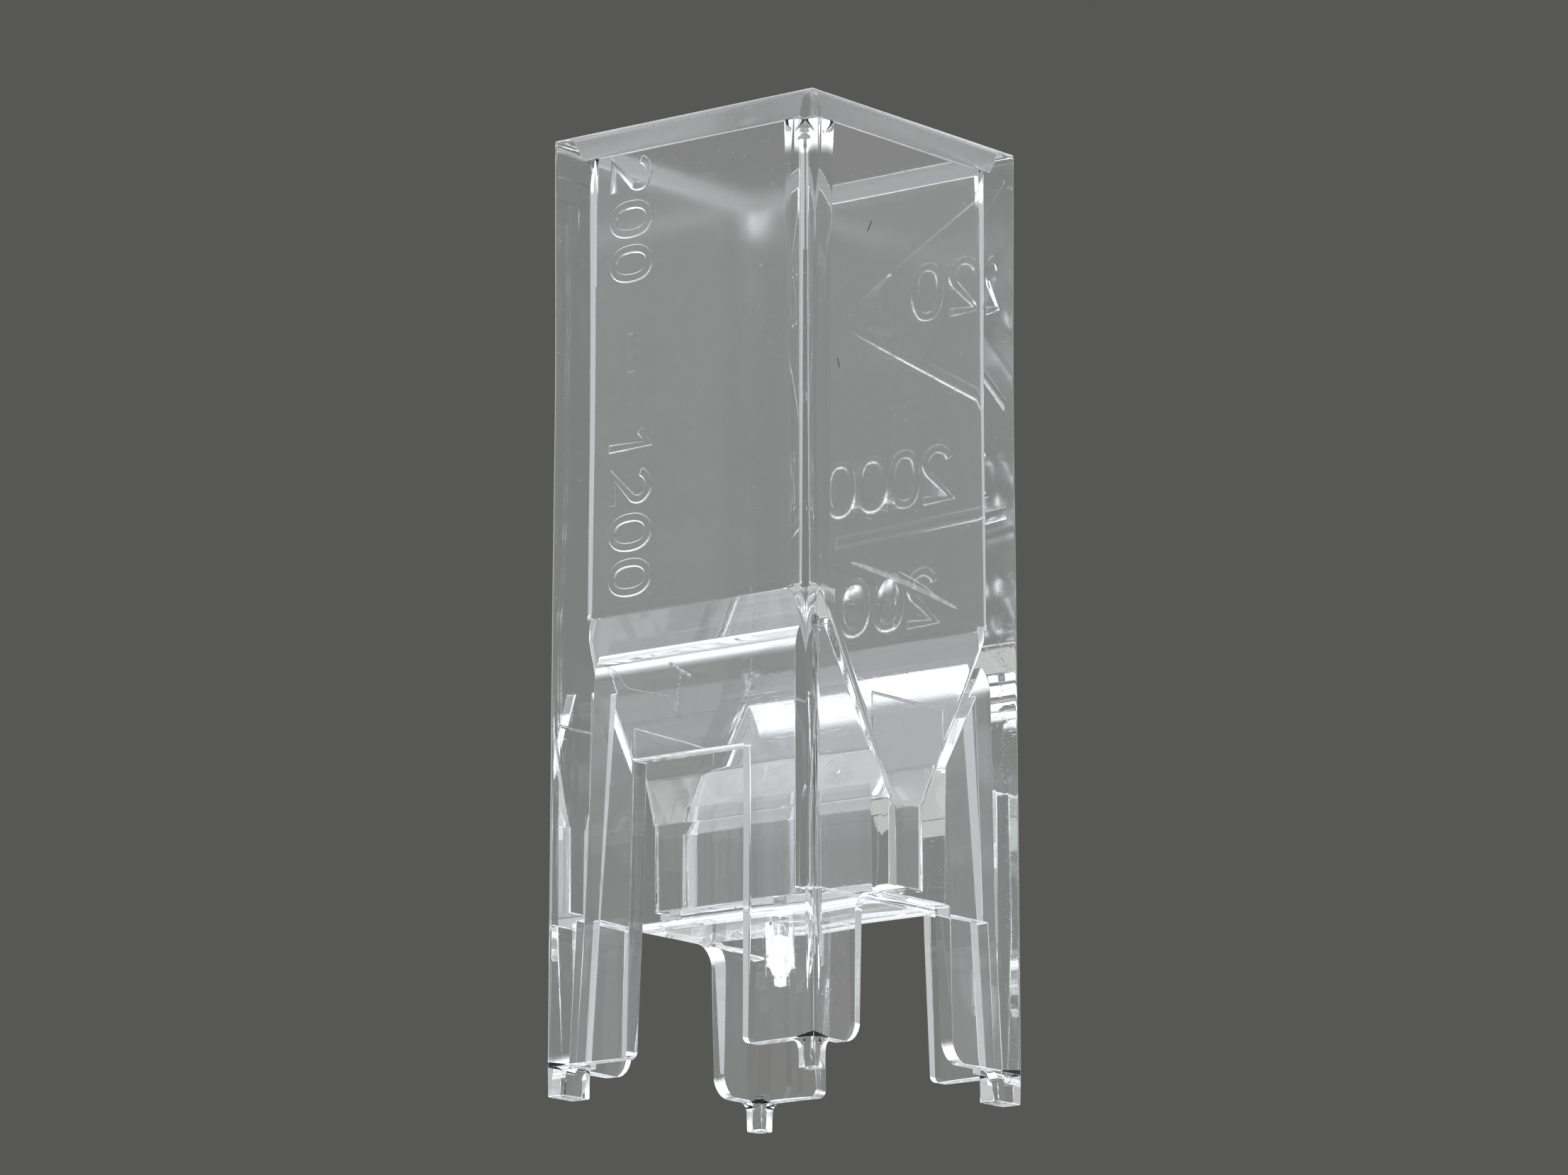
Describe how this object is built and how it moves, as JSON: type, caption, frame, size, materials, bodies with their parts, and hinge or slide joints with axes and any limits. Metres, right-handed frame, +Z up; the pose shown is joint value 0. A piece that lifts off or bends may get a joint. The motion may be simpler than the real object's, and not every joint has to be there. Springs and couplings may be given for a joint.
{
  "type": "cuvette",
  "caption": "Clear plastic spectrometer cuvette: square well over a slim measuring chamber with a long and a short light path, slotted sides and footed legs.",
  "frame": {"origin": "middle of the square footprint, on the plane of the four feet", "axes": "+Z up to the open rim, X along the long light path, Y along the short light path"},
  "size_m": [0.0126, 0.0126, 0.036],
  "materials": {
    "clear_plastic": "polished, transparent"
  },
  "bodies": {
    "root": {"cuvette": "clear_plastic"}
  },
  "joints": []
}
